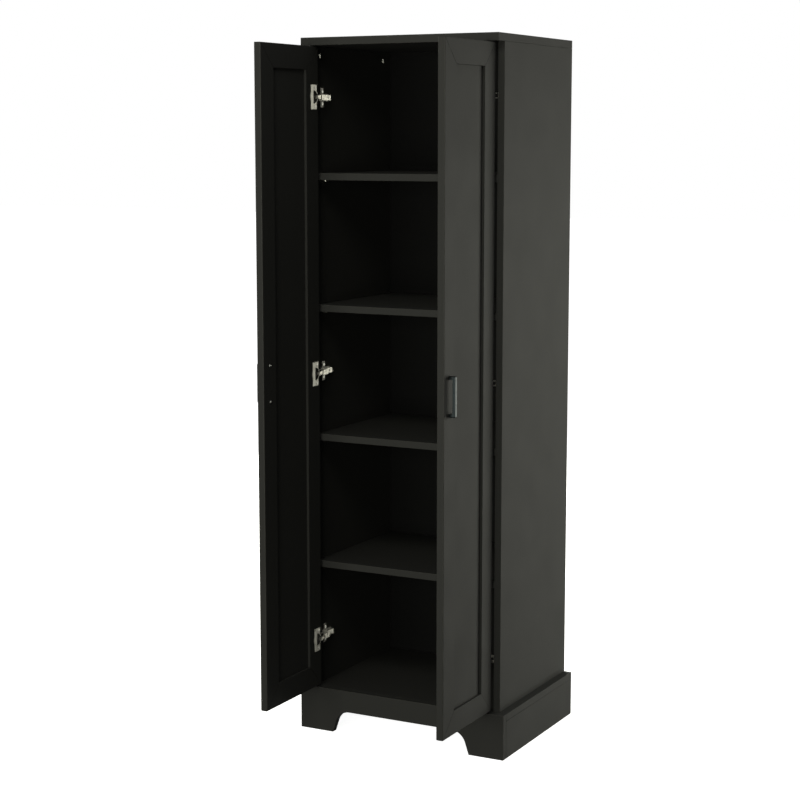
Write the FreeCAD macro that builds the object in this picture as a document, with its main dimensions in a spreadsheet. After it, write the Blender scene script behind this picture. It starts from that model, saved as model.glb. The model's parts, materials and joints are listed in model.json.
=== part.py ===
import FreeCAD, Part

import os
import re

import Sketcher

# Pantry cabinet: a tall two-door cupboard on a plinth, with four shelves.
# Frame: millimetres, +Z up, -Y is the front, floor at Z = 0. The origin is on the floor, under the
# middle of the box round the cabinet as it stands, with both doors open at open_angle.
# The right-hand half is built, and the left-hand pieces are its mirror images.

document = FreeCAD.newDocument("pantry_cabinet")
sheet = document.addObject("Spreadsheet::Sheet", "Sizes")
vector = FreeCAD.Vector
pieces = {}

SIZES = [
    # carcass
    ("overall_width", 600),
    ("overall_height", 1830),
    ("base_depth", 447),
    ("base_height", 118),
    ("board", 18),
    ("top_thickness", 20),
    ("top_overhang", 13),
    ("carcass_width", 558),
    ("carcass_setback", 23),
    ("back_thickness", 5),
    ("back_inset", 3),
    ("groove_depth", 6),
    ("back_play", 0.5),
    # plinth cut-out
    ("foot_width", 98.5),
    ("foot_slant", 20),
    ("foot_arc", 40),
    ("apron_clearance", 60),
    # shelves, shelf pins and the cam locks under the top
    ("shelf_setback", 2),
    ("shelf_play", 0.5),
    ("shelf_back_gap", 0.5),
    ("pin_radius", 2.5),
    ("pin_depth", 9),
    ("pin_hole_depth", 10),
    ("pin_showing", 10),
    ("pin_front_inset", 39),
    ("pin_back_inset", 50),
    ("cam_radius", 7.5),
    ("cam_depth", 12.5),
    ("cam_drop", 24),
    ("cam_front_inset", 31.5),
    ("cam_back_inset", 50.5),
    ("cam_slot_length", 9),
    ("cam_slot_width", 1.4),
    ("cam_slot_depth", 2),
    ("hole_clearance", 0.05),
    # doors
    ("door_thickness", 19),
    ("door_middle_gap", 3),
    ("door_side_reveal", 1.5),
    ("door_top_gap", 2),
    ("door_bottom_gap", 6),
    ("door_back_gap", 3.5),
    ("door_edge_radius", 2),
    ("frame_width", 60),
    ("panel_thickness", 6),
    ("panel_groove", 8),
    ("panel_play", 1),
    # the vertical line that each door turns about, and how far the doors stand open
    ("pole_inset", 15),
    ("pole_forward", 3.5),
    ("open_angle", 90),
    # hinge cups
    ("hinge_end_distance", 128),
    ("cup_radius", 17.5),
    ("cup_depth", 12.5),
    ("cup_wall", 0.8),
    ("cup_edge_distance", 22),
    ("rim_radius", 18.25),
    ("flange_height", 62),
    ("flange_thickness", 1.2),
    ("flange_free_side", 15.5),
    ("flange_hinge_side", 12.5),
    ("mouth_free_side", 3.5),
    ("cup_screw_spacing", 48),
    ("cup_screw_offset", 6),
    ("cup_screw_radius", 1.5),
    ("cup_screw_length", 12),
    ("cup_screw_head_radius", 3.25),
    ("cup_screw_head", 1.2),
    ("pivot_radius", 1.5),
    ("pivot_wall_gap", 5.7),
    ("pivot_from_mouth", 6.5),
    # hinge links
    ("link_width", 9),
    ("link_thickness", 2.2),
    ("link_eye_radius", 2.9),
    ("link_reach", 13.8),
    ("link_tail", 33),
    ("link_tail_angle", 18.8),
    ("link_yield", 0.17),
    # hinge arms and mounting plates
    ("arm_width", 13),
    ("arm_wall", 1.2),
    ("arm_rise", 22),
    ("arm_low_rise", 12),
    ("arm_skirt_gap", 3),
    ("arm_front_inset", 2.5),
    ("arm_step_inset", 27),
    ("arm_end_inset", 65),
    ("plate_thickness", 2),
    ("plate_width", 18),
    ("plate_start_inset", 23),
    ("plate_end_inset", 69),
    ("plate_ear_inset", 37),
    ("plate_ear_width", 14),
    ("plate_ear_height", 50),
    ("plate_screw_spacing", 32),
    ("plate_screw_radius", 2.5),
    ("plate_screw_length", 11),
    ("plate_screw_head_radius", 4.25),
    ("plate_screw_head", 1.5),
    ("arm_screw_radius", 2),
    ("arm_screw_head_radius", 3),
    ("arm_screw_head", 1.4),
    ("arm_screw_length", 6),
    ("arm_fixing_inset", 53),
    ("arm_adjusting_inset", 34),
    # handles
    ("handle_length", 100),
    ("handle_width", 11),
    ("handle_projection", 17),
    ("handle_bar_thickness", 7),
    ("handle_leg", 9),
    ("handle_edge_distance", 30),
    ("handle_corner_radius", 4),
    ("handle_edge_radius", 2),
    ("handle_screw_radius", 2),
    ("handle_screw_bite", 8),
    ("handle_screw_head_radius", 4),
    ("handle_screw_head", 2),
]
SHELVES = 4
HINGE_HEIGHTS = {
    "lower": "door_bottom + hinge_end_distance",
    "middle": "(door_bottom + door_top) / 2",
    "upper": "door_top - hinge_end_distance",
}

ARM_SCREWS = {"fixing": "arm_fixing_inset", "adjusting": "arm_adjusting_inset"}

# Places that several pieces share, worked out from the sizes above.
DERIVED = {
    "half_width": "overall_width / 2",
    "carcass_half": "carcass_width / 2",
    "inner_half": "carcass_half - board",
    "top_underside": "overall_height - top_thickness",
    "back_front": "base_depth - back_inset - back_thickness",
    "shelf_pitch": f"(top_underside - base_height + board) / {SHELVES + 1}",
    "door_width": "carcass_half - door_side_reveal - door_middle_gap / 2",
    "door_bottom": "base_height + door_bottom_gap",
    "door_top": "top_underside - door_top_gap",
    "door_front": "carcass_setback - door_back_gap - door_thickness",
    # in a door's own frame the turning line is x = y = 0 and the closed door lies along -x
    "hinge_edge": "pole_inset - door_side_reveal",
    "free_edge": "hinge_edge - door_width",
    "inner_face": "pole_forward + door_thickness",
    "panel_outer": "pole_forward + (door_thickness - panel_thickness) / 2",
    "cup_middle": "hinge_edge - cup_edge_distance",
    "pivot_offset": "cup_radius - cup_wall - pivot_wall_gap",
    "pivot_length": "2 * sqrt(cup_radius ^ 2 - (pivot_offset + pivot_radius) ^ 2) - 2 * hole_clearance",
    "pivot_across": "cup_middle + pivot_offset",
    "pivot_deep": "inner_face - pivot_from_mouth",
    "handle_middle": "free_edge + handle_edge_distance",
    # in the cabinet's frame
    "door_tip": "door_front - pole_forward + free_edge * sin(open_angle) + pole_forward * cos(open_angle)",
    "front": "-(base_depth + door_tip) / 2",
    "pole_across": "carcass_half - pole_inset",
    "pole_along": "front + door_front - pole_forward",
    "carcass_front": "front + carcass_setback",
    "plate_face": "inner_half - plate_thickness",
    "arm_low_face": "inner_half - arm_low_rise",
}


def spelled_out(text):
    """The expression with derived places written out and sizes read from the sheet."""
    def word(found):
        name = found.group(0)
        if name in DERIVED:
            return f"({spelled_out(DERIVED[name])})"
        return f"Sizes.{name}" if name in ALIASES else name
    return re.sub(r"[a-z_]+", word, str(text))


def bind(feature, **expressions):
    """Ties properties to the sheet: bind(box, Length="board")."""
    for name, text in expressions.items():
        feature.setExpression(name, spelled_out(text))


def put(feature, x=0, y=0, z=0):
    """Ties the feature's place to the sheet and keeps its rotation."""
    for axis, text in zip("xyz", (x, y, z)):
        feature.setExpression(f"Placement.Base.{axis}", spelled_out(text))
    return feature


def turn(feature, axis, angle):
    feature.Placement = FreeCAD.Placement(vector(), FreeCAD.Rotation(axis, 0))
    feature.setExpression("Placement.Rotation.Angle", spelled_out(angle))


def box(label, size, at):
    """A box with size (x, y, z) and its lowest corner at the given place."""
    solid = document.addObject("Part::Box", label)
    bind(solid, Length=size[0], Width=size[1], Height=size[2])
    return put(solid, *at)


AXES = {"x": (vector(0, 1, 0), 90), "y": (vector(1, 0, 0), -90), "z": (vector(0, 0, 1), 0)}


def rod(label, radius, length, at, along):
    """A round bar that starts at the given place and runs along +x, +y or +z."""
    solid = document.addObject("Part::Cylinder", label)
    solid.Placement = FreeCAD.Placement(vector(), FreeCAD.Rotation(*AXES[along]))
    bind(solid, Radius=radius, Height=length)
    return put(solid, *at)


def cut(label, base, tools):
    result = document.addObject("Part::Cut", label)
    result.Base = base
    result.Tool = tools[0] if len(tools) == 1 else fuse(f"{label}_tools", tools)
    return result


def fuse(label, parts):
    result = document.addObject("Part::MultiFuse", label)
    result.Shapes = parts
    return result


def piece(name, feature):
    feature.Label = name
    pieces[name] = feature
    return feature


def both_sides(name, feature):
    """Names the right-hand piece and adds its mirror image on the left."""
    piece(f"right_{name}", feature)
    mirrored = document.addObject("Part::Mirroring", f"mirrored_{name}")
    mirrored.Source = feature
    mirrored.Normal = vector(1, 0, 0)
    piece(f"left_{name}", mirrored)


def outline_body(label, plane, points, length, midplane=False):
    """A body padded from a closed outline on one of its own origin planes, towards +Y or +X."""
    body = document.addObject("PartDesign::Body", label)
    sketch = body.newObject("Sketcher::SketchObject", f"{label}_outline")
    origin_plane = next(o for o in body.Origin.OriginFeatures if o.Role == plane)
    sketch.AttachmentSupport = [(origin_plane, "")]
    sketch.MapMode = "FlatFace"
    count = len(points)
    # the lines start out on a circle, so that no two corners coincide before the sizes are bound
    start = []
    for i in range(count):
        start.append(FreeCAD.Rotation(vector(0, 0, 1), 360 * i / count).multVec(vector(50, 0, 0)))
    for i in range(count):
        sketch.addGeometry(Part.LineSegment(start[i], start[(i + 1) % count]))
    for i in range(count):
        sketch.addConstraint(Sketcher.Constraint("Coincident", i, 2, (i + 1) % count, 1))
    for i, corner in enumerate(points):
        for kind, text, value in zip(("DistanceX", "DistanceY"), corner, start[i]):
            index = sketch.addConstraint(Sketcher.Constraint(kind, -1, 1, i, 1, value))
            sketch.setExpression(f"Constraints[{index}]", spelled_out(text))
    pad = body.newObject("PartDesign::Pad", f"{label}_pad")
    pad.Profile = sketch
    pad.Midplane = midplane
    pad.Reversed = not midplane
    bind(pad, Length=length)
    return body


def value_of(text):
    """The present value of an expression, for picking edges."""
    return float(sheet.evalExpression(spelled_out(text)))


def round_edges(body, label, radius, wanted):
    """Rounds those of the body's edges that wanted() picks."""
    document.recompute()
    names = [f"Edge{i}" for i, edge in enumerate(body.Shape.Edges, 1) if wanted(edge)]
    last = body.Tip
    fillet = body.newObject("PartDesign::Fillet", label)
    fillet.Base = (last, names)
    bind(fillet, Radius=radius)
    body.Tip = fillet


def fill_sheet():
    for row, (name, value) in enumerate(SIZES, 1):
        sheet.set(f"A{row}", name)
        sheet.set(f"B{row}", str(value))
        sheet.setAlias(f"B{row}", name)
    document.recompute()


def build_plinth():
    """A board frame that the cabinet stands on, with a cut-out between two feet at the front."""
    inner = "half_width - foot_width"
    shoulder = "half_width - foot_width - foot_slant"
    front_board = outline_body(
        "plinth_board",
        "XZ_Plane",
        [
            ("-(half_width)", "0"),
            (f"-({inner})", "0"),
            (f"-({shoulder})", "apron_clearance"),
            (shoulder, "apron_clearance"),
            (inner, "0"),
            ("half_width", "0"),
            ("half_width", "base_height"),
            ("-(half_width)", "base_height"),
        ],
        "board",
    )
    underside = value_of("apron_clearance")

    def joins_foot_and_apron(edge):
        return edge.BoundBox.YLength > 1 and all(abs(v.Z - underside) < 0.01 for v in edge.Vertexes)

    round_edges(front_board, "foot_curves", "foot_arc", joins_foot_and_apron)
    piece("plinth_front", put(front_board, y="front"))
    side = box(
        "plinth_side",
        ("board", "base_depth - board", "base_height - board"),
        ("half_width - board", "front + board", "0"),
    )
    both_sides("plinth_side", side)
    back = box(
        "plinth_rear",
        ("overall_width - 2 * board", "board", "base_height - board"),
        ("board - half_width", "front + base_depth - board", "0"),
    )
    piece("plinth_back", back)


def build_carcass():
    """Floor, sides, top and back. The back slides into grooves in the other four boards."""
    groove = box(
        "back_groove",
        (
            "2 * (inner_half + groove_depth)",
            "back_thickness",
            "top_underside - base_height + 2 * groove_depth",
        ),
        ("-(inner_half + groove_depth)", "front + back_front", "base_height - groove_depth"),
    )
    floor = box(
        "floor_board",
        ("overall_width", "base_depth - board", "board"),
        ("-(half_width)", "front + board", "base_height - board"),
    )
    piece("cabinet_floor", cut("grooved_floor", floor, [groove]))
    top = box(
        "top_board",
        ("carcass_width", "base_depth + top_overhang", "top_thickness"),
        ("-(carcass_half)", "front - top_overhang", "top_underside"),
    )
    piece("top_panel", cut("grooved_top", top, [groove]))
    side = box(
        "side_board",
        ("board", "base_depth - carcass_setback", "top_underside - base_height"),
        ("inner_half", "carcass_front", "base_height"),
    )
    both_sides("side_panel", cut("bored_side", side, [groove] + pin_holes() + cam_holes() + plate_holes()))
    back = box(
        "back_board",
        (
            "2 * (inner_half + groove_depth - back_play)",
            "back_thickness",
            "top_underside - base_height + 2 * (groove_depth - back_play)",
        ),
        (
            "back_play - inner_half - groove_depth",
            "front + back_front",
            "base_height - groove_depth + back_play",
        ),
    )
    piece("back_panel", back)


def pin_places():
    """(y, z) of the middle of each shelf pin on one side. The shelf lies on the tops of the pins."""
    for shelf in range(1, SHELVES + 1):
        height = f"base_height - board + {shelf} * shelf_pitch - pin_radius"
        yield "carcass_front + pin_front_inset", height
        yield "front + base_depth - pin_back_inset", height


def pin_holes():
    return [
        rod(f"pin_hole_{i}", "pin_radius + hole_clearance", "pin_hole_depth", ("inner_half", y, z), "x")
        for i, (y, z) in enumerate(pin_places())
    ]


def build_shelves():
    """Four shelves at equal heights apart. Each one lies on four round pins that plug into the sides."""
    for shelf in range(1, SHELVES + 1):
        board = box(
            f"shelf_board_{shelf}",
            (
                "2 * (inner_half - shelf_play)",
                "back_front - carcass_setback - shelf_setback - shelf_back_gap",
                "board",
            ),
            (
                "shelf_play - inner_half",
                "carcass_front + shelf_setback",
                f"base_height - board + {shelf} * shelf_pitch",
            ),
        )
        piece(f"shelf_{shelf}", board)
    pins = []
    for i, (y, z) in enumerate(pin_places()):
        start = ("inner_half - pin_showing", y, z)
        pins.append(rod(f"shelf_pin_{i}", "pin_radius", "pin_showing + pin_depth", start, "x"))
    both_sides("shelf_pins", fuse("pins", pins))


def cam_places():
    """y of the two cam locks in each side, just under the top."""
    return "carcass_front + cam_front_inset", "front + base_depth - cam_back_inset"


def cam_holes():
    return [
        rod(
            f"cam_hole_{i}",
            "cam_radius + hole_clearance",
            "cam_depth",
            ("inner_half", y, "top_underside - cam_drop"),
            "x",
        )
        for i, y in enumerate(cam_places())
    ]


def build_cam_locks():
    """Round cams that draw the sides up to the top, with a slot for the screwdriver."""
    cams = []
    for i, y in enumerate(cam_places()):
        centre = ("inner_half", y, "top_underside - cam_drop")
        body = rod(f"cam_{i}", "cam_radius", "cam_depth", centre, "x")
        slot = box(
            f"cam_slot_{i}",
            ("cam_slot_depth", "cam_slot_width", "cam_slot_length"),
            ("inner_half", f"{y} - cam_slot_width / 2", "top_underside - cam_drop - cam_slot_length / 2"),
        )
        cams.append(cut(f"slotted_cam_{i}", body, [slot]))
    both_sides("cam_locks", fuse("cams", cams))


def on_door(feature):
    """Hangs a piece that was made in the door's own frame on the turning line."""
    turn(feature, vector(0, 0, 1), "open_angle")
    return put(feature, "pole_across", "pole_along")


def frame_member(name, points, at_edge):
    """One mitred length of a door's frame. at_edge picks the two long edges that are rounded."""
    body = outline_body(name, "XZ_Plane", points, "door_thickness")
    round_edges(body, f"{name}_edges", "door_edge_radius", at_edge)
    put(body, y="pole_forward")
    return body


def build_door():
    """A frame of two stiles and two rails with mitred corners round a thin sunk panel."""
    left, right = "free_edge", "hinge_edge"
    low, high = "door_bottom", "door_top"
    in_left, in_right = "free_edge + frame_width", "hinge_edge - frame_width"
    in_low, in_high = "door_bottom + frame_width", "door_top - frame_width"
    groove = box(
        "door_groove",
        (
            f"{in_right} - ({in_left}) + 2 * panel_groove",
            "panel_thickness",
            f"{in_high} - ({in_low}) + 2 * panel_groove",
        ),
        (f"{in_left} - panel_groove", "panel_outer", f"{in_low} - panel_groove"),
    )

    def upright_at(across):
        where = value_of(across)
        return lambda edge: edge.BoundBox.ZLength > 1 and all(abs(v.X - where) < 0.01 for v in edge.Vertexes)

    def level_at(height):
        where = value_of(height)
        return lambda edge: edge.BoundBox.XLength > 1 and all(abs(v.Z - where) < 0.01 for v in edge.Vertexes)

    members = {
        "free_stile": (
            [(left, low), (in_left, in_low), (in_left, in_high), (left, high)],
            upright_at(left),
        ),
        "hinge_stile": (
            [(right, low), (right, high), (in_right, in_high), (in_right, in_low)],
            upright_at(right),
        ),
        "bottom_rail": (
            [(left, low), (right, low), (in_right, in_low), (in_left, in_low)],
            level_at(low),
        ),
        "top_rail": (
            [(left, high), (in_left, in_high), (in_right, in_high), (right, high)],
            level_at(high),
        ),
    }
    extra = {"hinge_stile": cup_holes() + cup_screw_holes(), "free_stile": handle_screw_holes("stile")}
    for name, (points, at_edge) in members.items():
        member = frame_member(f"door_{name}_blank", points, at_edge)
        grooved = cut(f"door_{name}_cut", member, [groove] + extra.get(name, []))
        both_sides(f"door_{name}", on_door(grooved))
    panel = document.addObject("Part::Box", "door_panel_board")
    bind(
        panel,
        Length=f"{in_right} - ({in_left}) + 2 * (panel_groove - panel_play)",
        Width="panel_thickness",
        Height=f"{in_high} - ({in_low}) + 2 * (panel_groove - panel_play)",
    )
    turn(panel, vector(0, 0, 1), "open_angle")
    corner = f"{in_left} - panel_groove + panel_play"
    put(
        panel,
        f"pole_across + ({corner}) * cos(open_angle) - panel_outer * sin(open_angle)",
        f"pole_along + ({corner}) * sin(open_angle) + panel_outer * cos(open_angle)",
        f"{in_low} - panel_groove + panel_play",
    )
    both_sides("door_panel", panel)


def cup_holes():
    return [
        rod(
            f"{level}_cup_hole",
            "cup_radius + hole_clearance",
            "cup_depth + 1",
            ("cup_middle", "inner_face - cup_depth - hole_clearance", height),
            "y",
        )
        for level, height in HINGE_HEIGHTS.items()
    ]


def cup_screw_places():
    for level, height in HINGE_HEIGHTS.items():
        for end, sign in (("low", "-"), ("high", "+")):
            yield f"{level}_{end}", f"{height} {sign} cup_screw_spacing / 2"


def cup_screw_holes():
    return [
        rod(
            f"{name}_cup_screw_hole",
            "cup_screw_radius + hole_clearance",
            "cup_screw_length + 1",
            ("cup_middle + cup_screw_offset", "inner_face - cup_screw_length - 0.5", height),
            "y",
        )
        for name, height in cup_screw_places()
    ]


def build_cups():
    """Pressed steel cups let into the hinge stile, each with a flange and a pivot pin across it."""
    bore = "cup_radius - cup_wall"
    for level, height in HINGE_HEIGHTS.items():
        mouth = ("cup_middle", "inner_face", height)
        bottom = ("cup_middle", "inner_face - cup_depth", height)
        shell = rod(f"{level}_cup", "cup_radius", "cup_depth", bottom, "y")
        rim = rod(f"{level}_rim", "rim_radius", "flange_thickness", mouth, "y")
        flange = box(
            f"{level}_flange",
            ("flange_free_side + flange_hinge_side", "flange_thickness", "flange_height"),
            ("cup_middle - flange_free_side", "inner_face", f"{height} - flange_height / 2"),
        )
        hollow = rod(
            f"{level}_cup_hollow",
            bore,
            "cup_depth - cup_wall",
            ("cup_middle", "inner_face - cup_depth + cup_wall", height),
            "y",
        )
        mouth_round = rod(f"{level}_mouth_round", bore, "flange_thickness", mouth, "y")
        mouth_side = box(
            f"{level}_mouth_side",
            (f"mouth_free_side + {bore}", "flange_thickness", f"2 * ({bore})"),
            ("cup_middle - mouth_free_side", "inner_face", f"{height} - ({bore})"),
        )
        opening = document.addObject("Part::Common", f"{level}_cup_opening")
        opening.Base = mouth_round
        opening.Tool = mouth_side
        screw_holes = [
            rod(
                f"{level}_{end}_flange_hole",
                "cup_screw_radius + hole_clearance",
                "flange_thickness + 2",
                ("cup_middle + cup_screw_offset", "inner_face - 1", f"{height} {sign} cup_screw_spacing / 2"),
                "y",
            )
            for end, sign in (("low", "-"), ("high", "+"))
        ]
        blank = fuse(f"{level}_cup_blank", [shell, rim, flange])
        stamped = cut(f"{level}_cup_stamped", blank, [hollow, opening] + screw_holes)
        pin = rod(
            f"{level}_pivot_pin",
            "pivot_radius",
            "pivot_length",
            ("pivot_across", "pivot_deep", f"{height} - pivot_length / 2"),
            "z",
        )
        both_sides(f"{level}_hinge_cup", on_door(fuse(f"{level}_cup_with_pin", [stamped, pin])))


def build_cup_screws():
    solids = []
    for name, height in cup_screw_places():
        at = "cup_middle + cup_screw_offset"
        top = "inner_face + flange_thickness"
        solids += [
            rod(
                f"{name}_cup_screw_head",
                "cup_screw_head_radius",
                "cup_screw_head",
                (at, top, height),
                "y",
            ),
            rod(
                f"{name}_cup_screw_shank",
                "cup_screw_radius",
                "cup_screw_length + flange_thickness",
                (at, "inner_face - cup_screw_length", height),
                "y",
            ),
        ]
    both_sides("hinge_cup_screws", on_door(fuse("cup_screws", solids)))


def build_links():
    """Goose-necked links: an eye on the cup's pin, a neck that clears the door, and a tail in the arm."""
    solids = []
    for level, height in HINGE_HEIGHTS.items():
        low = f"{height} - link_width / 2"
        eye = rod(f"{level}_link_eye", "link_eye_radius", "link_width", ("0", "0", low), "z")
        neck = box(
            f"{level}_link_neck",
            ("link_reach", "link_thickness", "link_width"),
            ("-link_reach", "-link_thickness / 2", low),
        )
        elbow = rod(f"{level}_link_elbow", "link_thickness / 2", "link_width", ("-link_reach", "0", low), "z")
        tail = document.addObject("Part::Box", f"{level}_link_tail")
        turn(tail, vector(0, 0, 1), "-link_tail_angle")
        bind(tail, Length="link_thickness", Width="link_tail", Height="link_width")
        put(
            tail,
            "-link_reach - link_thickness / 2 * cos(link_tail_angle)",
            "link_thickness / 2 * sin(link_tail_angle)",
            low,
        )
        hole = rod(
            f"{level}_link_hole",
            "pivot_radius + hole_clearance",
            "link_width + 2",
            ("0", "0", f"{low} - 1"),
            "z",
        )
        solids.append(cut(f"{level}_link", fuse(f"{level}_link_blank", [eye, neck, elbow, tail]), [hole]))
    links = fuse("links", solids)
    turn(links, vector(0, 0, 1), "link_yield * (90 - open_angle)")
    put(
        links,
        "pole_across + pivot_across * cos(open_angle) - pivot_deep * sin(open_angle)",
        "pole_along + pivot_across * sin(open_angle) + pivot_deep * cos(open_angle)",
    )
    both_sides("hinge_links", links)


def channel(label, face, rise, start, end, height):
    """A folded channel that stands on the side panel and is open towards it."""
    outside = box(
        label,
        (rise, f"{end} - ({start})", "arm_width"),
        (face, f"carcass_front + {start}", f"{height} - arm_width / 2"),
    )
    inside = box(
        f"{label}_inside",
        (rise, f"{end} - ({start}) + 2", "arm_width - 2 * arm_wall"),
        (f"{face} + arm_wall", f"carcass_front + {start} - 1", f"{height} - arm_width / 2 + arm_wall"),
    )
    return outside, inside


def build_arms():
    """Fixed arms: a tall front channel for the link's tail, and a low rear one on the plate's rail."""
    for level, height in HINGE_HEIGHTS.items():
        tall, tall_inside = channel(
            f"{level}_arm_front",
            "inner_half - arm_rise",
            "arm_rise - arm_skirt_gap",
            "arm_front_inset",
            "arm_step_inset",
            height,
        )
        low, low_inside = channel(
            f"{level}_arm_rear",
            "arm_low_face",
            "arm_low_rise - arm_skirt_gap",
            "arm_step_inset - arm_wall",
            "arm_end_inset",
            height,
        )
        front = cut(f"{level}_arm_front_folded", tall, [tall_inside])
        rear = cut(f"{level}_arm_rear_folded", low, [low_inside])
        holes = [
            rod(
                f"{level}_{use}_arm_hole",
                "arm_screw_radius + hole_clearance",
                "arm_wall + 2",
                ("arm_low_face - 1", f"carcass_front + {inset}", height),
                "x",
            )
            for use, inset in ARM_SCREWS.items()
        ]
        joined = fuse(f"{level}_arm_joined", [front, rear])
        both_sides(f"{level}_hinge_arm", cut(f"{level}_arm_bored", joined, holes))


def plate_screw_places():
    for level, height in HINGE_HEIGHTS.items():
        for end, sign in (("low", "-"), ("high", "+")):
            yield f"{level}_{end}", f"{height} {sign} plate_screw_spacing / 2"


def plate_holes():
    return [
        rod(
            f"{name}_side_hole",
            "plate_screw_radius + hole_clearance",
            "plate_screw_length + 1",
            ("inner_half", "carcass_front + plate_ear_inset", height),
            "x",
        )
        for name, height in plate_screw_places()
    ]


def build_mounting_plates():
    """Cross-shaped plates screwed to the sides, with a rail that the arms sit on."""
    plates = []
    for level, height in HINGE_HEIGHTS.items():
        strip = box(
            f"{level}_plate_strip",
            ("plate_thickness", "plate_end_inset - plate_start_inset", "plate_width"),
            ("plate_face", "carcass_front + plate_start_inset", f"{height} - plate_width / 2"),
        )
        ears = box(
            f"{level}_plate_ears",
            ("plate_thickness", "plate_ear_width", "plate_ear_height"),
            (
                "plate_face",
                "carcass_front + plate_ear_inset - plate_ear_width / 2",
                f"{height} - plate_ear_height / 2",
            ),
        )
        rail = box(
            f"{level}_plate_rail",
            (
                "arm_low_rise - arm_wall - plate_thickness",
                "arm_end_inset - arm_step_inset",
                "arm_width - 2 * arm_wall - 2 * hole_clearance",
            ),
            (
                "arm_low_face + arm_wall",
                "carcass_front + arm_step_inset",
                f"{height} - arm_width / 2 + arm_wall + hole_clearance",
            ),
        )
        holes = [
            rod(
                f"{level}_{end}_plate_hole",
                "plate_screw_radius + hole_clearance",
                "plate_thickness + 2",
                (
                    "plate_face - 1",
                    "carcass_front + plate_ear_inset",
                    f"{height} {sign} plate_screw_spacing / 2",
                ),
                "x",
            )
            for end, sign in (("low", "-"), ("high", "+"))
        ] + [
            rod(
                f"{level}_{use}_rail_hole",
                "arm_screw_radius + hole_clearance",
                "arm_screw_length + 1",
                ("arm_low_face", f"carcass_front + {inset}", height),
                "x",
            )
            for use, inset in ARM_SCREWS.items()
        ]
        plates.append(cut(f"{level}_plate", fuse(f"{level}_plate_blank", [strip, ears, rail]), holes))
    both_sides("hinge_mounting_plates", fuse("mounting_plates", plates))


def build_side_screws():
    """The screws that hold the plates on the sides, and those that hold the arms on the plates."""
    plate_screws = []
    for name, height in plate_screw_places():
        along = "carcass_front + plate_ear_inset"
        plate_screws += [
            rod(
                f"{name}_plate_screw_head",
                "plate_screw_head_radius",
                "plate_screw_head",
                ("plate_face - plate_screw_head", along, height),
                "x",
            ),
            rod(
                f"{name}_plate_screw_shank",
                "plate_screw_radius",
                "plate_screw_length + plate_thickness",
                ("plate_face", along, height),
                "x",
            ),
        ]
    both_sides("hinge_plate_screws", fuse("plate_screws", plate_screws))
    arm_screws = []
    for level, height in HINGE_HEIGHTS.items():
        for use, inset in ARM_SCREWS.items():
            along = f"carcass_front + {inset}"
            arm_screws += [
                rod(
                    f"{level}_{use}_screw_head",
                    "arm_screw_head_radius",
                    "arm_screw_head",
                    ("arm_low_face - arm_screw_head", along, height),
                    "x",
                ),
                rod(
                    f"{level}_{use}_screw_shank",
                    "arm_screw_radius",
                    "arm_screw_length",
                    ("arm_low_face", along, height),
                    "x",
                ),
            ]
    both_sides("hinge_arm_screws", fuse("arm_screws", arm_screws))


def handle_screw_places():
    for end, sign in (("low", "-"), ("high", "+")):
        yield end, f"(door_bottom + door_top) / 2 {sign} (handle_length - handle_leg) / 2"


def handle_screw_holes(use):
    return [
        rod(
            f"{use}_{end}_handle_hole",
            "handle_screw_radius + hole_clearance",
            "door_thickness + handle_screw_bite + 2",
            ("handle_middle", "pole_forward - handle_screw_bite - 1", height),
            "y",
        )
        for end, height in handle_screw_places()
    ]


def build_handles():
    """Bar handles with a leg at each end, screwed on from inside the door."""
    half, leg = "handle_length / 2", "handle_length / 2 - handle_leg"
    face, under = "-handle_projection", "handle_bar_thickness - handle_projection"
    bar = outline_body(
        "handle_bar",
        "YZ_Plane",
        [
            ("0", f"-({half})"),
            (face, f"-({half})"),
            (face, half),
            ("0", half),
            ("0", leg),
            (under, leg),
            (under, f"-({leg})"),
            ("0", f"-({leg})"),
        ],
        "handle_width",
        midplane=True,
    )
    reach = value_of("handle_projection")
    corner = value_of("handle_corner_radius")
    end = value_of(half)

    def outer_corner(edge):
        return edge.BoundBox.XLength > 1 and all(
            abs(v.Y + reach) < 0.01 and abs(abs(v.Z) - end) < 0.01 for v in edge.Vertexes
        )

    def outer_rim(edge):
        return edge.BoundBox.XLength < 0.01 and all(v.Y < 1 + corner - reach for v in edge.Vertexes)

    round_edges(bar, "handle_corners", "handle_corner_radius", outer_corner)
    round_edges(bar, "handle_rim", "handle_edge_radius", outer_rim)
    put(bar, "handle_middle", "pole_forward", "(door_bottom + door_top) / 2")
    both_sides("door_handle", on_door(cut("handle_bored", bar, handle_screw_holes("handle"))))
    solids = []
    for name, height in handle_screw_places():
        solids += [
            rod(
                f"{name}_handle_screw_head",
                "handle_screw_head_radius",
                "handle_screw_head",
                ("handle_middle", "inner_face", height),
                "y",
            ),
            rod(
                f"{name}_handle_screw_shank",
                "handle_screw_radius",
                "door_thickness + handle_screw_bite",
                ("handle_middle", "pole_forward - handle_screw_bite", height),
                "y",
            ),
        ]
    both_sides("door_handle_screws", on_door(fuse("handle_screws", solids)))


def check_and_write():
    document.recompute()
    for feature in document.Objects:
        bad = {"Invalid", "Error"} & set(feature.State)
        if bad:
            raise RuntimeError(f"{feature.Label} is {bad}")
    os.makedirs("parts", exist_ok=True)
    for name, feature in pieces.items():
        shape = feature.Shape
        if shape.isNull() or not shape.isValid() or shape.Volume < 1:
            raise RuntimeError(f"{name} has no valid solid")
    for name, feature in pieces.items():
        feature.Shape.exportStep(f"parts/{name}.step")


ALIASES = [name for name, _ in SIZES]
fill_sheet()
build_plinth()
build_carcass()
build_shelves()
build_cam_locks()
build_door()
build_cups()
build_cup_screws()
build_links()
build_arms()
build_mounting_plates()
build_side_screws()
build_handles()
check_and_write()
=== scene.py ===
import json
import math

import bmesh
import bpy
from mathutils import Matrix, Vector

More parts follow.
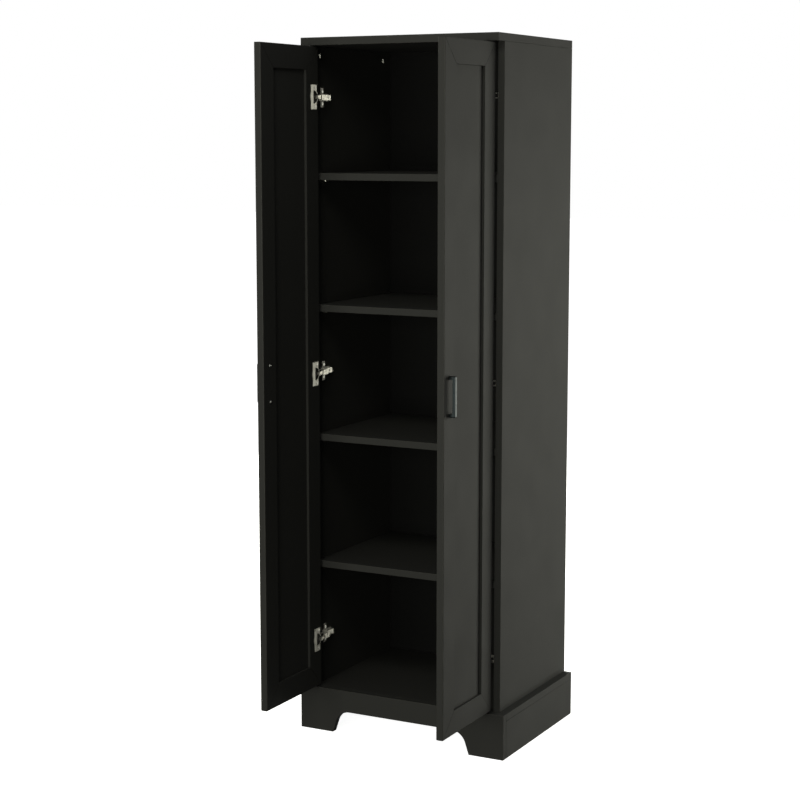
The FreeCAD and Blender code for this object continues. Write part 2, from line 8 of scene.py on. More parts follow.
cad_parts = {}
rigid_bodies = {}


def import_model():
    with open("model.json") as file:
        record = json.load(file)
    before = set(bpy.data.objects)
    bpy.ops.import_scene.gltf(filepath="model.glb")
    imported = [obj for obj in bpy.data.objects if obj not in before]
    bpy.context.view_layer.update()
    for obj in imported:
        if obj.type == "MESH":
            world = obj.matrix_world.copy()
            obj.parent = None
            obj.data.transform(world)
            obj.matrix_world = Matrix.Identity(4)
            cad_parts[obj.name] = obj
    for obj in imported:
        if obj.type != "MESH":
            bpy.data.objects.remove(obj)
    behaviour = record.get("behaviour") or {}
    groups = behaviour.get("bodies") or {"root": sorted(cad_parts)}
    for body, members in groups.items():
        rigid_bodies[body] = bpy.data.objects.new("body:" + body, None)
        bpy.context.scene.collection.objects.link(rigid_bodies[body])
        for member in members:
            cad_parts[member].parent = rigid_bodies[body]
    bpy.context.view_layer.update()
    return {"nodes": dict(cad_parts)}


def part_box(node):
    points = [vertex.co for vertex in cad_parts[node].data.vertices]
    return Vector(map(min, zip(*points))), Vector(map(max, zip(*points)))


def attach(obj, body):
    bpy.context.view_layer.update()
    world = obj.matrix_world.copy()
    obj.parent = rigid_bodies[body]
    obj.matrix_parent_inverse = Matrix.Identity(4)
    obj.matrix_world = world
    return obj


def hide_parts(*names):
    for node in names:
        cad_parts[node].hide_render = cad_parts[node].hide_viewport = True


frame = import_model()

# Plinth front. One board of MDF across the front, sawn to leave two splayed feet with a round corner
# up to the apron, sanded and sprayed before it was glued to the sides. Its face joints stay visible.
EASE = 0.0009
FOOT = 0.0985
SPLAY = 0.020
APRON = 0.060
FOOT_ARC = 0.040
ARC_STEPS = 12
# edges that turn more than this, in radians, were sawn. Softer ones belong to a curve.
SAWN = 0.6
# the size of each thing that the coat shows. Orange peel is 1 to 2 mm across on the real coat, and is
# drawn larger so that it can be seen. Clouds are drawn out upwards along the spray gun's passes.
CLOUD = 0.26
CLOUD_WIDTH_TO_HEIGHT = 0.35
PEEL = 0.0035
NIB_GAP = 0.009
HAND = 0.09
# the part of a noise texture's range that most of its values lie in
NOISE_RANGE = {"From Min": 0.3, "From Max": 0.7}
LACQUER = ("#272725", "#282826")
# a pale tone for dust nibs, and for the painted highlight along eased edges
PALE_NIB_AND_EDGE_HIGHLIGHT = "#3a3a36"
GLUED_JOINT = "#080808"


def linear(colour):
    """An sRGB hex colour as linear red, green, blue and alpha."""
    parts = [int(colour[i : i + 2], 16) / 255 for i in (1, 3, 5)]
    return [p / 12.92 if p < 0.04045 else ((p + 0.055) / 1.055) ** 2.4 for p in parts] + [1]


def add_node(tree, kind, settings=None, links=None):
    """A shader node with its settings, and links from other nodes' outputs to its inputs."""
    made = tree.nodes.new(kind)
    for name, value in (settings or {}).items():
        if isinstance(name, str) and name not in made.inputs:
            setattr(made, name, value)
        else:
            made.inputs[name].default_value = value
    for name, output in (links or {}).items():
        tree.links.new(output, made.inputs[name])
    return made


def blank_material(name):
    """A material with nothing in its node tree, and the tree."""
    material = bpy.data.materials.new(name)
    material.use_nodes = True
    material.node_tree.nodes.clear()
    return material, material.node_tree


def sprayed_board(name):
    """Matt lacquer sprayed on sanded MDF: a fine orange peel, dust nibs, slow cloudiness where the coat
    is thicker, hand-sized patches of other gloss, a pale painted highlight along eased edges and dark
    glued joints."""
    material, tree = blank_material(name)
    spot = add_node(tree, "ShaderNodeTexCoord").outputs["Object"]
    passes = add_node(
        tree, "ShaderNodeMapping", {"Scale": (1, 1, CLOUD_WIDTH_TO_HEIGHT)}, {"Vector": spot}
    )
    clouds = add_node(
        tree,
        "ShaderNodeTexNoise",
        {"Scale": 1 / CLOUD, "Detail": 4.0},
        {"Vector": passes.outputs[0]},
    )
    peel = add_node(tree, "ShaderNodeTexNoise", {"Scale": 1 / PEEL, "Detail": 2.0}, {"Vector": spot})
    nibs = add_node(tree, "ShaderNodeTexVoronoi", {"Scale": 1 / NIB_GAP}, {"Vector": spot})
    nib = add_node(
        tree,
        "ShaderNodeMapRange",
        {"From Min": 0.02, "From Max": 0.07, "To Min": 1.0, "To Max": 0.0},
        {"Value": nibs.outputs["Distance"]},
    )
    cloud_tone = add_node(
        tree,
        "ShaderNodeMapRange",
        {**NOISE_RANGE, "To Min": 0.0, "To Max": 1.0},
        {"Value": clouds.outputs["Fac"]},
    )
    coat = add_node(
        tree,
        "ShaderNodeMix",
        {"data_type": "RGBA", 6: linear(LACQUER[0]), 7: linear(LACQUER[1])},
        {0: cloud_tone.outputs[0]},
    )
    # a nib only tints the coat a little
    fleck = add_node(tree, "ShaderNodeMath", {"operation": "MULTIPLY", 1: 0.10}, {0: nib.outputs[0]})
    flecked = add_node(
        tree,
        "ShaderNodeMix",
        {"data_type": "RGBA", 7: linear(PALE_NIB_AND_EDGE_HIGHLIGHT)},
        {0: fleck.outputs[0], 6: coat.outputs[2]},
    )
    # the mark is 1 on an eased edge, where a pale painted highlight is drawn that clouds break up
    edge = add_node(tree, "ShaderNodeAttribute", {"attribute_name": "eased_edge"})
    edge_highlight_share = add_node(
        tree,
        "ShaderNodeMath",
        {"operation": "MULTIPLY"},
        {0: edge.outputs["Fac"], 1: clouds.outputs["Fac"]},
    )
    edge_highlighted = add_node(
        tree,
        "ShaderNodeMix",
        {"data_type": "RGBA", 7: linear(PALE_NIB_AND_EDGE_HIGHLIGHT)},
        {0: edge_highlight_share.outputs[0], 6: flecked.outputs[2]},
    )
    # the mark is -1 on a glued joint, which turns this factor positive there and nowhere else
    seam = add_node(
        tree,
        "ShaderNodeMath",
        {"operation": "MULTIPLY", "use_clamp": True, 1: -0.85},
        {0: edge.outputs["Fac"]},
    )
    jointed = add_node(
        tree,
        "ShaderNodeMix",
        {"data_type": "RGBA", 7: linear(GLUED_JOINT)},
        {0: seam.outputs[0], 6: edge_highlighted.outputs[2]},
    )
    hands = add_node(tree, "ShaderNodeTexNoise", {"Scale": 1 / HAND, "Detail": 3.0}, {"Vector": spot})
    gloss = add_node(
        tree,
        "ShaderNodeMapRange",
        {**NOISE_RANGE, "To Min": 0.685, "To Max": 0.66},
        {"Value": hands.outputs["Fac"]},
    )
    bump = add_node(
        tree, "ShaderNodeBump", {"Strength": 0.35, "Distance": 0.00012}, {"Height": peel.outputs["Fac"]}
    )
    skin = add_node(
        tree,
        "ShaderNodeBsdfPrincipled",
        {"IOR": 1.5, "Specular IOR Level": 0.3},
        {"Base Color": jointed.outputs[2], "Roughness": gloss.outputs[0], "Normal": bump.outputs[0]},
    )
    add_node(tree, "ShaderNodeOutputMaterial", None, {"Surface": skin.outputs[0]})
    return material


def rounded(shape, geom, radius, steps, affect="EDGES"):
    """Turns edges or corners into arcs, and gives the new faces."""
    made = bmesh.ops.bevel(
        shape,
        geom=geom,
        offset=radius,
        offset_type="OFFSET",
        segments=steps,
        profile=0.5,
        affect=affect,
        clamp_overlap=True,
        material=-1,
    )
    return made["faces"]


def thickened(shape, faces, step):
    """Draws faces out by a step, and gives the corners that moved."""
    made = bmesh.ops.extrude_face_region(shape, geom=faces)
    moved = [v for v in made["geom"] if isinstance(v, bmesh.types.BMVert)]
    bmesh.ops.translate(shape, vec=step, verts=moved)
    return moved


def sprayed_mesh():
    """An empty bmesh with a face layer that marks eased edges for a painted highlight, and glued joints.
    """
    shape = bmesh.new()
    shape.faces.layers.float.new("eased_edge")
    return shape


def ease(shape, edges, radius, steps=3, coat=lambda face: 1):
    """Rounds edges over with sandpaper. Each new face is marked 1 where a pale painted highlight is drawn,
    -1 where it is a glued joint that shows dark through the coat, and 0 where neither shows."""
    layer = shape.faces.layers.float["eased_edge"]
    for face in rounded(shape, list(edges), radius, steps):
        face[layer] = coat(face)
        face.smooth = True


def stand(shape, name, material, body, slot, *nodes):
    """Makes the finished shape an object that rides on a body in place of its CAD nodes."""
    mesh = bpy.data.meshes.new(name)
    shape.to_mesh(mesh)
    shape.free()
    mesh.materials.append(material)
    piece = bpy.data.objects.new(name, mesh)
    bpy.context.scene.collection.objects.link(piece)
    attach(piece, body)
    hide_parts(*nodes)
    return piece


black_lacquer = sprayed_board("matt_black_lacquer_on_mdf")

low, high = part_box("plinth_front")
plinth_front = sprayed_mesh()
outline = [
    (low.x, 0),
    (low.x + FOOT, 0),
    (low.x + FOOT + SPLAY, APRON),
    (high.x - FOOT - SPLAY, APRON),
    (high.x - FOOT, 0),
    (high.x, 0),
    (high.x, high.z),
    (low.x, high.z),
]
corners = [plinth_front.verts.new((x, low.y, z)) for x, z in outline]
plinth_front.faces.new(corners)
# the arc's radius gives how far its ends are from the corner it replaces
setback = FOOT_ARC * math.tan(math.atan2(APRON, SPLAY) / 2)
rounded(plinth_front, [corners[2], corners[3]], setback, ARC_STEPS, "VERTICES")
thickened(plinth_front, list(plinth_front.faces), (0, high.y - low.y, 0))
bmesh.ops.recalc_face_normals(plinth_front, faces=plinth_front.faces)
floor_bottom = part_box("cabinet_floor")[0].z


def plinth_joint_and_edge_highlight(face):
    """A joint's dark line where the floor board meets the plinth, and a pale painted highlight on other
    edges.
    """
    return -1 if abs(face.calc_center_median().z - floor_bottom) < EASE else 1


ease(plinth_front, [e for e in plinth_front.edges if e.calc_face_angle(0) > SAWN], EASE)
stand(plinth_front, "plinth_front_board", black_lacquer, "carcass", "painted_board", "plinth_front")


# Plinth sides, plinth back, cabinet floor, sides, top and shelves. All are plain boards of the same
# MDF, sawn square with their edges eased, sprayed, and joined by hidden dowels and cam bolts.
SQUARE_BOARDS = {
    "left_plinth_side": "plinth_left_board",
    "right_plinth_side": "plinth_right_board",
    "plinth_back": "plinth_back_board",
    "cabinet_floor": "floor_board",
    "left_side_panel": "left_side_board",
    "right_side_panel": "right_side_board",
    "top_panel": "top_board",
    "shelf_1": "shelf_board_1",
    "shelf_2": "shelf_board_2",
    "shelf_3": "shelf_board_3",
    "shelf_4": "shelf_board_4",
}


def square_board(low, high, radius, coat=lambda face: 1):
    """A board sawn to size, with every edge eased."""
    shape = sprayed_mesh()
    bmesh.ops.create_cube(shape, size=1)
    bmesh.ops.scale(shape, vec=high - low, verts=shape.verts)
    bmesh.ops.translate(shape, vec=(low + high) / 2, verts=shape.verts)
    ease(shape, shape.edges, radius, 3, coat)
    return shape


for node, name in SQUARE_BOARDS.items():
    low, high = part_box(node)
    board = square_board(low, high, EASE, plinth_joint_and_edge_highlight)
    stand(board, name, black_lacquer, "carcass", "painted_board", node)


# Back panel. A thin hardboard sheet, black on its face and drawn darker still as painted shade inside the
# cabinet, that slides into grooves behind the shelves.
# Its face is pressed against a mesh, which leaves a faint linen grain.
SHEET_EDGE = 0.0003
# the press mesh has a 2.4 mm pitch, drawn at 5 mm so that it can be seen
MESH_PITCH = 0.005
# a wave texture at scale 1 repeats every pi / 10 metres
MESH_SCALE = math.pi / 10 / MESH_PITCH
MOTTLE = 0.12
# near-black tones: the sheet's black face, drawn darker still as painted shade
SHEET_BLACKS_WITH_PAINTED_SHADE = ("#060606", "#080808")
hardboard, tree = blank_material("black_faced_hardboard")
place = add_node(tree, "ShaderNodeTexCoord").outputs["Object"]
weft = add_node(
    tree,
    "ShaderNodeTexWave",
    {"Scale": MESH_SCALE, "Distortion": 0.6, "bands_direction": "Z"},
    {"Vector": place},
)
warp = add_node(
    tree,
    "ShaderNodeTexWave",
    {"Scale": MESH_SCALE, "Distortion": 0.6, "bands_direction": "X"},
    {"Vector": place},
)
linen = add_node(
    tree, "ShaderNodeMath", {"operation": "MAXIMUM"}, {0: weft.outputs["Fac"], 1: warp.outputs["Fac"]}
)
mottle = add_node(tree, "ShaderNodeTexNoise", {"Scale": 1 / MOTTLE, "Detail": 5.0}, {"Vector": place})
face_tone = add_node(
    tree,
    "ShaderNodeMix",
    {"data_type": "RGBA", 6: linear(SHEET_BLACKS_WITH_PAINTED_SHADE[0]), 7: linear(SHEET_BLACKS_WITH_PAINTED_SHADE[1])},
    {0: mottle.outputs["Fac"]},
)
grain = add_node(
    tree, "ShaderNodeBump", {"Strength": 0.25, "Distance": 0.0001}, {"Height": linen.outputs[0]}
)
sheet = add_node(
    tree,
    "ShaderNodeBsdfPrincipled",
    {"Roughness": 0.72, "IOR": 1.5, "Specular IOR Level": 0.15},
    {"Base Color": face_tone.outputs[2], "Normal": grain.outputs[0]},
)
add_node(tree, "ShaderNodeOutputMaterial", None, {"Surface": sheet.outputs[0]})
low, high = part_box("back_panel")
back = square_board(low, high, SHEET_EDGE)
stand(back, "back_sheet", hardboard, "carcass", "back_board", "back_panel")


# Doors. Each has two stiles and two rails with mitred corners, glued round a thin panel that sits
# 6.5 mm below the frame on both faces. The mitres show as fine lines under the lacquer.
ROUND_OVER = 0.002
MITRE_LINE = 0.0006
PANEL_EDGE = 0.0005
# edges longer than this run along a member, and shorter ones across its thickness
LONG = 0.03
# a mitre line's faces lean both sideways and upwards by more than this
LEAN = 0.1
NEAR = 1e-5
# each side, and the way that points from the cabinet's middle to it
SIDES = {"left": -1, "right": 1}


def mitre_coat(face):
    """A joint's dark line on a mitre, and nothing on a member's other edges."""
    return -1 if min(abs(face.normal.y), abs(face.normal.z)) > LEAN else 0


def mitred_member(corners, inner, outer, axis, rim):
    """A frame member cut to its mitres. The long edges that lie at rim on an axis are rounded over."""
    shape = sprayed_mesh()
    face = shape.faces.new([shape.verts.new((inner, y, z)) for y, z in corners])
    thickened(shape, [face], (outer - inner, 0, 0))
    bmesh.ops.recalc_face_normals(shape, faces=shape.faces)
    long_edges = [e for e in shape.edges if e.calc_length() > LONG]
    outside = [e for e in long_edges if all(abs(v.co[axis] - rim) < NEAR for v in e.verts)]
    ease(shape, outside, ROUND_OVER, 4)
    crisp = [e for e in shape.edges if e.calc_face_angle(0) > SAWN]
    ease(shape, crisp, MITRE_LINE, 2, mitre_coat)
    return shape


for side in SIDES:
    body = f"{side}_door"
    low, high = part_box(f"{side}_door_free_stile")
    tip, inside = low.y, high.y
    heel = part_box(f"{side}_door_hinge_stile")[1].y
    bottom, top = low.z, high.z
    wide = inside - tip
    # the lacquered faces of the frame, from the face towards the shelves to the face away from them
    inner, outer = sorted((low.x, high.x), key=abs)
    # member: its corners, then the axis and the place of the edges that are rounded over
    members = {
        "free_stile": (
            [(tip, bottom), (tip + wide, bottom + wide), (tip + wide, top - wide), (tip, top)],
            1,
            tip,
        ),
        "hinge_stile": (
            [(heel, bottom), (heel, top), (heel - wide, top - wide), (heel - wide, bottom + wide)],
            1,
            heel,
        ),
        "bottom_rail": (
            [(tip, bottom), (heel, bottom), (heel - wide, bottom + wide), (tip + wide, bottom + wide)],
            2,
            bottom,
        ),
        "top_rail": (
            [(tip, top), (tip + wide, top - wide), (heel - wide, top - wide), (heel, top)],
            2,
            top,
        ),
    }
    for member, (corners, axis, rim) in members.items():
        shape = mitred_member(corners, inner, outer, axis, rim)
        node = f"{side}_door_{member}"
        stand(shape, f"{side}_{member}", black_lacquer, body, "painted_board", node)
    low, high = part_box(f"{side}_door_panel")
    shape = square_board(low, high, PANEL_EDGE)
    stand(shape, f"{side}_sunk_panel", black_lacquer, body, "painted_board", f"{side}_door_panel")


# Hinge parts: cups, links, arms and mounting plates. They are pressed from steel strip, folded,
# and barrel-plated with bright nickel, which leaves faint drawing lines and a soft mottled shine.
# drawing lines are 0.1 mm apart on the strip, drawn at 0.5 mm so that they can be seen, and run upwards
LINE_PITCH = 0.0005
LINE_STRETCH = 9
# the plating bath leaves clouds this far across, which shift the roughness up and down by this much
BATH_CLOUD = 0.007
BATH_SPREAD = 0.07


def plated_steel(name, pale, dark, rough, line_pitch):
    """Nickel or zinc plate on metal: a tone that wanders a little, and fine drawing lines."""
    material, tree = blank_material(name)
    place = add_node(tree, "ShaderNodeTexCoord").outputs["Object"]
    drawn = add_node(tree, "ShaderNodeMapping", {"Scale": (1, 1, LINE_STRETCH)}, {"Vector": place})
    lines = add_node(
        tree,
        "ShaderNodeTexNoise",
        {"Scale": 1 / line_pitch / LINE_STRETCH, "Detail": 3.0},
        {"Vector": drawn.outputs[0]},
    )
    bath = add_node(
        tree, "ShaderNodeTexNoise", {"Scale": 1 / BATH_CLOUD, "Detail": 4.0}, {"Vector": place}
    )
    tone = add_node(
        tree,
        "ShaderNodeMix",
        {"data_type": "RGBA", 6: linear(dark), 7: linear(pale)},
        {0: bath.outputs["Fac"]},
    )
    shine = add_node(
        tree,
        "ShaderNodeMapRange",
        {**NOISE_RANGE, "To Min": rough - BATH_SPREAD, "To Max": rough + BATH_SPREAD},
        {"Value": bath.outputs["Fac"]},
    )
    relief = add_node(
        tree, "ShaderNodeBump", {"Strength": 0.3, "Distance": 0.00004}, {"Height": lines.outputs["Fac"]}
    )
    metal = add_node(
        tree,
        "ShaderNodeBsdfPrincipled",
        {"Metallic": 1.0},
        {"Base Color": tone.outputs[2], "Roughness": shine.outputs[0], "Normal": relief.outputs[0]},
    )
    add_node(tree, "ShaderNodeOutputMaterial", None, {"Surface": metal.outputs[0]})
    return material


def plate(node, metal):
    """Makes a plated metal the only material of a CAD node."""
    mesh = frame["nodes"][node].data
    mesh.materials.clear()
    mesh.materials.append(metal)


bright_nickel = plated_steel("bright_nickel_on_pressed_steel", "#dedbd3", "#c9c6be", 0.30, LINE_PITCH)
# cups and mounting plates are a little rougher, and are drawn as darker copies of the nickel for painted
# shade, the plates darkest
nickel_with_painted_shade = plated_steel("satin_nickel_on_pressed_steel", "#a6a49e", "#8f8d88", 0.34, LINE_PITCH)
nickel_with_deep_painted_shade = plated_steel("unpolished_nickel_on_pressed_steel", "#5c5a57", "#4b4a47", 0.40, LINE_PITCH)
hinge_plating = {"hinge_links": bright_nickel, "hinge_mounting_plates": nickel_with_deep_painted_shade}
for height in ("lower", "middle", "upper"):
    hinge_plating[f"{height}_hinge_cup"] = nickel_with_painted_shade
    hinge_plating[f"{height}_hinge_arm"] = bright_nickel
for side in SIDES:
    for part, metal in hinge_plating.items():
        plate(f"{side}_{part}", metal)


# Screws. Pan-head steel screws, zinc-plated, turned in until the head sits tight on its plate or board.
# Each head is formed cold from wire, so its rim is round. Its crown is flat, with a cross recess.
SCREWS = {
    # part: body, head radius, head thickness, shank radius
    "hinge_cup_screws": ("door", 0.00325, 0.0012, 0.0015),
    "door_handle_screws": ("door", 0.004, 0.002, 0.002),
    "hinge_plate_screws": ("carcass", 0.00425, 0.0015, 0.0025),
    "hinge_arm_screws": ("carcass", 0.003, 0.0014, 0.002),
}
# the rounding of a head's rim, as a share of its radius and at most of its thickness
RIM_OF_RADIUS = 0.35
RIM_OF_THICKNESS = 0.6
# the cross recess: its reach as a share of the radius, its blade as a share of the reach, its depth as
# a share of the thickness, and how much of its mouth is left at the bottom
REACH = 0.62
BLADE = 0.22
DEPTH = 0.7
BOTTOM = 0.72
# the shank's straight part and the width of its tip, as shares of its length and width
STRAIGHT = 0.85
TIP = 0.4
# a face whose normal points along the screw by more than this lies flat across the head
FLAT = 0.99
WELD = 1e-6
HAIR = 1e-7
zinc_plate = plated_steel("bright_zinc_on_cold_formed_steel", "#d6d6d2", "#bdbdb9", 0.34, 0.0006)


def join(shape, part, centre=(0, 0, 0), direction=(0, 0, 1)):
    """Adds a part that was drawn upwards from the origin, moved to centre and turned to direction."""
    turn = Vector((0, 0, 1)).rotation_difference(Vector(direction)).to_matrix().to_4x4()
    bmesh.ops.transform(part, matrix=Matrix.Translation(centre) @ turn, verts=part.verts)
    joined = bpy.data.meshes.new("joined")
    part.to_mesh(joined)
    part.free()
    shape.from_mesh(joined)
    bpy.data.meshes.remove(joined)


def pan_head(shape, centre, outward, radius, thickness, reach):
    """Adds a head that stands on a surface at centre and faces outward, with a cross recess."""
    head = bmesh.new()
    bmesh.ops.create_circle(head, cap_ends=True, segments=32, radius=radius)
    thickened(head, list(head.faces), (0, 0, thickness))
    bmesh.ops.recalc_face_normals(head, faces=head.faces)
    rim = [e for e in head.edges if all(abs(v.co.z - thickness) < HAIR for v in e.verts)]
    rounded(head, rim, min(radius * RIM_OF_RADIUS, thickness * RIM_OF_THICKNESS), 4)
    for face in head.faces:
        face.smooth = abs(face.normal.z) < FLAT
    blade = reach * BLADE
    for normal, offset in (((1, 0, 0), blade), ((0, 1, 0), blade), ((1, 0, 0), reach), ((0, 1, 0), reach)):
        for sign in (1, -1):
            crown = [f for f in head.faces if f.normal.z > FLAT]
            cuts = crown + [e for f in crown for e in f.edges] + [v for f in crown for v in f.verts]
            bmesh.ops.bisect_plane(
                head,
                geom=list(dict.fromkeys(cuts)),
                plane_co=Vector(normal) * offset * sign,
                plane_no=normal,
                dist=HAIR,
            )
    recess = []
    for face in head.faces:
        middle = face.calc_center_median()
        across, along = sorted((abs(middle.x), abs(middle.y)))
        if face.normal.z > FLAT and across < blade and along < reach:
            recess.append(face)
    bottom = thickened(head, recess, (0, 0, -thickness * DEPTH))
    bmesh.ops.delete(head, geom=recess, context="FACES_ONLY")
    bmesh.ops.scale(head, vec=(BOTTOM, BOTTOM, 1), verts=bottom)
    join(shape, head, centre, outward)


def shank(shape, centre, inward, radius, length):
    """Adds a plain shank with a short tapered end."""
    bar = bmesh.new()
    bmesh.ops.create_circle(bar, cap_ends=True, segments=16, radius=radius)
    moved = thickened(bar, list(bar.faces), (0, 0, length * STRAIGHT))
    far = [face for face in bar.faces if all(v in moved for v in face.verts)]
    end = thickened(bar, far, (0, 0, length * (1 - STRAIGHT)))
    bmesh.ops.scale(bar, vec=(TIP, TIP, 1), verts=end)
    bmesh.ops.recalc_face_normals(bar, faces=bar.faces)
    join(shape, bar, centre, inward)


def lumps(node):
    """The lowest and highest corner of each separate solid in a node, in the same order every run."""
    shape = bmesh.new()
    shape.from_mesh(frame["nodes"][node].data)
    bmesh.ops.remove_doubles(shape, verts=shape.verts, dist=WELD)
    left = set(shape.verts)
    found = []
    while left:
        front = [left.pop()]
        group = []
        while front:
            vert = front.pop()
            group.append(vert.co.copy())
            for edge in vert.link_edges:
                other = edge.other_vert(vert)
                if other in left:
                    left.remove(other)
                    front.append(other)
        found.append([Vector([pick(c[i] for c in group) for i in range(3)]) for pick in (min, max)])
    shape.free()
    return sorted(found, key=lambda corners: tuple(corners[0]))


def inner_end(low, high):
    """How far from the cabinet's middle the nearer end of a part is."""
    return min(abs(low.x), abs(high.x))


for side, away in SIDES.items():
    for part, (holder, radius, thickness, core) in SCREWS.items():
        body = f"{side}_door" if holder == "door" else "carcass"
        screws = bmesh.new()
        for low, high in lumps(f"{side}_{part}"):
            middle = (low + high) / 2
            # every head faces the middle of the cabinet, with its crown at the inner end of the screw
            seat = Vector((away * (inner_end(low, high) + thickness), middle.y, middle.z))
            pan_head(screws, seat, (-away, 0, 0), radius, thickness, radius * REACH)
            shank(screws, seat, (away, 0, 0), core, high.x - low.x - thickness)
        node = f"{side}_{part}"
        stand(screws, f"{side}_{part}_turned", zinc_plate, body, "screw_steel", node)


# Shelf pins and cam locks. The pins are turned from steel rod with rounded ends and plated; the cams
# are cast in zinc, and their cross slot shows in the side just under the top.
PIN_ROUNDING = 0.0008
# how far along a quarter arc's two sides its middle lies
ARC_MIDDLE = 0.3
PIN_STEPS = 28
CAM_REACH = 0.6
cast_zinc = plated_steel("tumbled_die_cast_zinc", "#a9a9a4", "#8f8f8a", 0.42, 0.0009)
for side, away in SIDES.items():
    pins = bmesh.new()
    for low, high in lumps(f"{side}_shelf_pins"):
        radius = (high.z - low.z) / 2
        middle = (low + high) / 2
        nose = away * inner_end(low, high)
        length = high.x - low.x
        # how far along the pin and how far out from its axis each corner of its outline is
        outline = [
            (0, 0),
            (0, radius - PIN_ROUNDING),
            (PIN_ROUNDING * ARC_MIDDLE, radius - PIN_ROUNDING * ARC_MIDDLE),
            (PIN_ROUNDING, radius),
            (length - PIN_ROUNDING, radius),
            (length, radius - PIN_ROUNDING),
            (length, 0),
        ]
        rod = bmesh.new()
        verts = [rod.verts.new((nose + away * along, middle.y, middle.z + out)) for along, out in outline]
        line = [rod.edges.new(pair) for pair in zip(verts, verts[1:])]
        bmesh.ops.spin(
            rod,
            geom=verts + line,
            cent=middle,
            axis=(1, 0, 0),
            angle=2 * math.pi,
            steps=PIN_STEPS,
            use_merge=True,
        )
        bmesh.ops.remove_doubles(rod, verts=rod.verts, dist=WELD)
        bmesh.ops.recalc_face_normals(rod, faces=rod.faces)
        for face in rod.faces:
            face.smooth = True
        join(pins, rod)
    stand(pins, f"{side}_turned_pins", bright_nickel, "carcass", "pin_steel", f"{side}_shelf_pins")
    cams = bmesh.new()
    for low, high in lumps(f"{side}_cam_locks"):
        middle = (low + high) / 2
        radius = (high.z - low.z) / 2
        depth = high.x - low.x
        seat = Vector((away * (inner_end(low, high) + depth), middle.y, middle.z))
        pan_head(cams, seat, (-away, 0, 0), radius, depth, radius * CAM_REACH)
    stand(cams, f"{side}_cast_cams", cast_zinc, "carcass", "cam_zinc", f"{side}_cam_locks")


# Handles. Zinc bar pulls, cast with a leg at each end and tumbled smooth, then given a black nickel
# finish with a faintly mottled shine.
black_nickel = plated_steel("black_nickel_on_cast_zinc", "#343a3c", "#292d2f", 0.33, 0.0008)
for side in SIDES:
    plate(f"{side}_door_handle", black_nickel)


# Studio. A white floor, and a room that is white to the eye and dim to the lacquer. Large soft lamps
# stand behind on the right, in front, high in front and behind on the left, with an overhead sun. A
# lamp of its own lights each side's fittings.
FLOOR_REACH = 30
# how bright the room is to the camera, and how bright the cabinet feels it
ROOM_SEEN = 1.0
ROOM_FELT = 0.08
WARM = (1.0, 1.0, 0.88)
LAMPS = {
    # lamp: where it stands, what it points at, its width and height, and its power
    "right_lamp": ((2.3, 2.8, 0.35), (0.3, 0, 0.35), (2.4, 3.6), 92),
    "front_lamp": ((0.2, -4.7, 1.1), (0, 0, 0.9), (3.6, 2.0), 116),
    "high_lamp": ((0.4, -2.2, 3.1), (0, 0, 1.3), (1.6, 0.8), 20),
    "back_lamp": ((-3.0, 3.0, 1.7), (0, 0, 0.9), (2.6, 2.6), 130),
}
FITTING_LAMP_ACROSS = 1.5
FITTING_LAMP_POWER = {"left": 200, "right": 60}
SUN_STRENGTH = 0.7
SUN_SPREAD = 110
LENS = 83.13
CAMERA_PLACE = (2.1941, -4.2305, 1.5743)
CAMERA_DIP = 8.05
CAMERA_TURN = 27.903

ground = bmesh.new()
bmesh.ops.create_grid(ground, x_segments=2, y_segments=2, size=FLOOR_REACH)
floor_mesh = bpy.data.meshes.new("studio_floor")
ground.to_mesh(floor_mesh)
ground.free()
floor = bpy.data.objects.new("studio_floor", floor_mesh)
bpy.context.scene.collection.objects.link(floor)
white_paper, tree = blank_material("white_paper_floor")
paper = add_node(
    tree,
    "ShaderNodeBsdfPrincipled",
    {
        "Base Color": linear("#f4f4f3"),
        "Roughness": 0.9,
        "Specular IOR Level": 0.1,
        "Emission Color": (1, 1, 1, 1),
        "Emission Strength": 0.95,
    },
)
add_node(tree, "ShaderNodeOutputMaterial", None, {"Surface": paper.outputs[0]})
floor_mesh.materials.append(white_paper)
floor.visible_diffuse = False
floor.visible_glossy = False

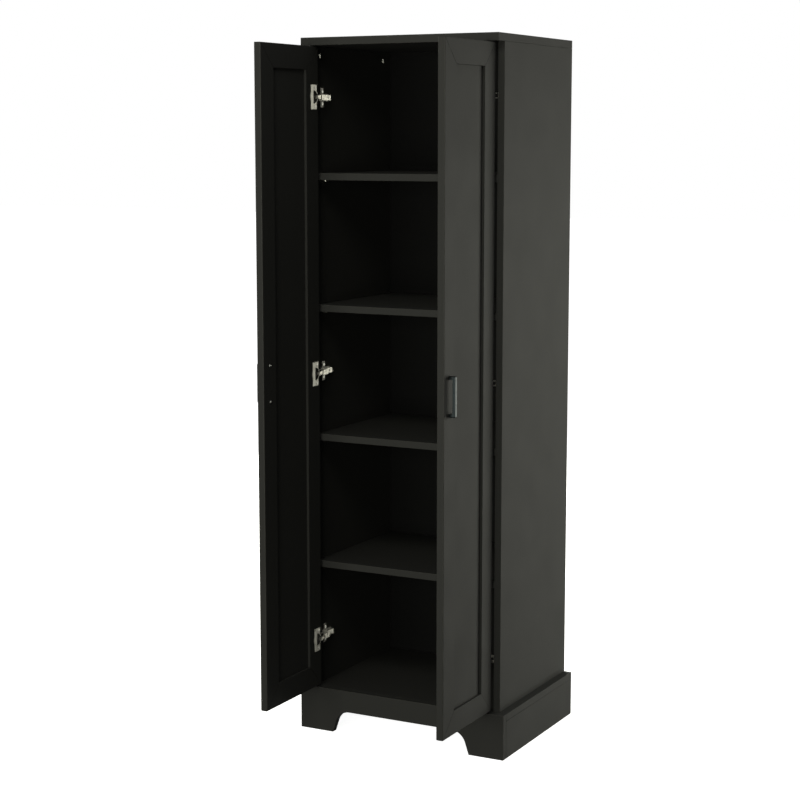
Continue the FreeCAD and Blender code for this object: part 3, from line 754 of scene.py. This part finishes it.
room = bpy.data.worlds.new("white_room")
room.use_nodes = True
tree = room.node_tree
tree.nodes.clear()
ray = add_node(tree, "ShaderNodeLightPath")
seen = add_node(tree, "ShaderNodeBackground", {"Color": (1, 1, 1, 1), "Strength": ROOM_SEEN})
felt = add_node(tree, "ShaderNodeBackground", {"Color": (1, 1, 1, 1), "Strength": ROOM_FELT})
both = add_node(
    tree,
    "ShaderNodeMixShader",
    None,
    {0: ray.outputs["Is Camera Ray"], 1: felt.outputs[0], 2: seen.outputs[0]},
)
add_node(tree, "ShaderNodeOutputWorld", None, {"Surface": both.outputs[0]})
bpy.context.scene.world = room


def soft_lamp(name, spot, aim, size, power):
    """A large rectangular lamp, very slightly warm, that points from spot at aim."""
    lamp = bpy.data.lights.new(name, "AREA")
    lamp.color = WARM
    lamp.shape = "RECTANGLE"
    lamp.size, lamp.size_y = size
    lamp.energy = power
    holder = bpy.data.objects.new(name, lamp)
    holder.location = spot
    holder.rotation_euler = (Vector(aim) - Vector(spot)).to_track_quat("-Z", "Y").to_euler()
    bpy.context.scene.collection.objects.link(holder)
    return holder


for name, (spot, aim, size, power) in LAMPS.items():
    soft_lamp(name, spot, aim, size, power)

# the plated hinges sit in deep shade, so each side's fittings have a lamp that reaches nothing else
PLATED = (bright_nickel, nickel_with_painted_shade, nickel_with_deep_painted_shade, zinc_plate, cast_zinc)
for side, away in SIDES.items():
    fittings = bpy.data.collections.new(f"{side}_fittings")
    for piece in bpy.context.scene.objects:
        plated = piece.type == "MESH" and any(m in PLATED for m in piece.data.materials)
        if plated and piece.name.startswith(side) and "handle" not in piece.name:
            fittings.objects.link(piece)
    spot = (-away * FITTING_LAMP_ACROSS, 2.4, 1.3)
    power = FITTING_LAMP_POWER[side]
    kicker = soft_lamp(f"{side}_fitting_lamp", spot, (0, 0, 0.95), (2.2, 2.6), power)
    kicker.light_linking.receiver_collection = fittings
    kicker.light_linking.blocker_collection = fittings

sky = bpy.data.lights.new("overhead_light", "SUN")
sky.energy = SUN_STRENGTH
sky.angle = math.radians(SUN_SPREAD)
overhead = bpy.data.objects.new("overhead_light", sky)
overhead.location = (0, 0, 4)
bpy.context.scene.collection.objects.link(overhead)

camera = bpy.data.cameras.new("camera")
camera.lens = LENS
camera.sensor_width = 36
viewer = bpy.data.objects.new("camera", camera)
viewer.location = CAMERA_PLACE
viewer.rotation_euler = (math.radians(90 - CAMERA_DIP), 0, math.radians(CAMERA_TURN))
bpy.context.scene.collection.objects.link(viewer)
bpy.context.scene.camera = viewer
bpy.context.scene.view_settings.view_transform = "Standard"
